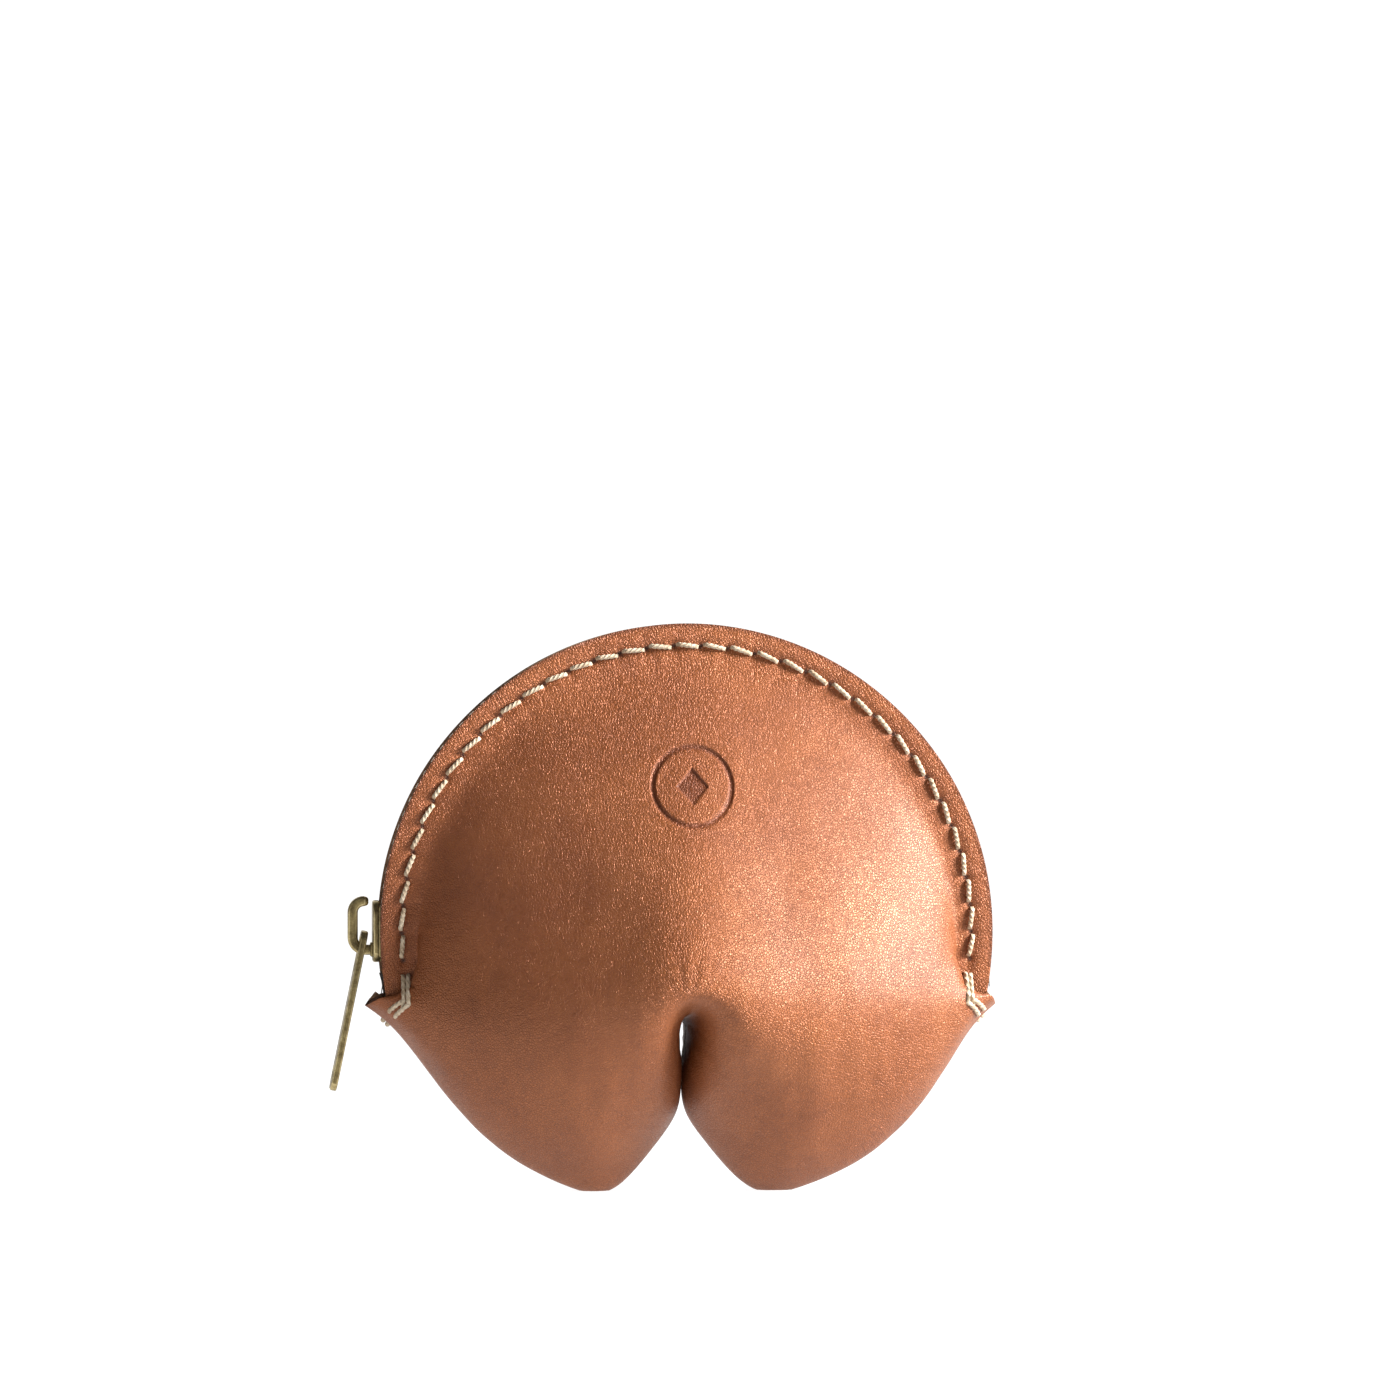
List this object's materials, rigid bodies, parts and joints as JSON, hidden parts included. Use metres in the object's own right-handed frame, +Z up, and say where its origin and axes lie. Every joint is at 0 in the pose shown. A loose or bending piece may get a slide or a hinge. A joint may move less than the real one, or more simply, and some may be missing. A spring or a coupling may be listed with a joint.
{
  "type": "zippered pouch",
  "caption": "Round leather coin pouch folded like a fortune cookie, with a zip round the rim and a long brass pull.",
  "frame": {"origin": "on the standing plane, midway between the two feet", "axes": "+X to the pouch's right as seen from the front, +Y to the back, +Z up; the zip runs round the rim in the XZ plane"},
  "size_m": [0.1129, 0.057, 0.0959],
  "materials": {
    "copper_leather": "pearlescent copper grain",
    "cream_thread": "waxed thread",
    "grey_tape": "woven tape",
    "old_brass": "antique brass"
  },
  "bodies": {
    "pouch": {"front_panel": "copper_leather", "back_panel": "copper_leather", "front_stitching": "cream_thread", "back_stitching": "cream_thread", "left_end_tack": "cream_thread", "right_end_tack": "cream_thread", "front_tape": "grey_tape", "back_tape": "grey_tape", "front_teeth": "old_brass", "back_teeth": "old_brass", "front_top_stop": "old_brass", "back_top_stop": "old_brass", "bottom_stop": "old_brass"},
    "slider": {"slider_body": "old_brass"},
    "pull": {"pull_tab": "old_brass"}
  },
  "joints": [
    {"name": "slider_travel", "type": "hinge", "parent": "pouch", "child": "slider", "pos_m": [0, 0, 0.044], "axis": [0, 1, 0], "range_deg": [0, 180]},
    {"name": "pull_swing", "type": "hinge", "parent": "slider", "child": "pull", "pos_m": [-0.0543, 0, 0.0435], "axis": [0, 1, 0], "range_deg": [0, 160]}
  ]
}
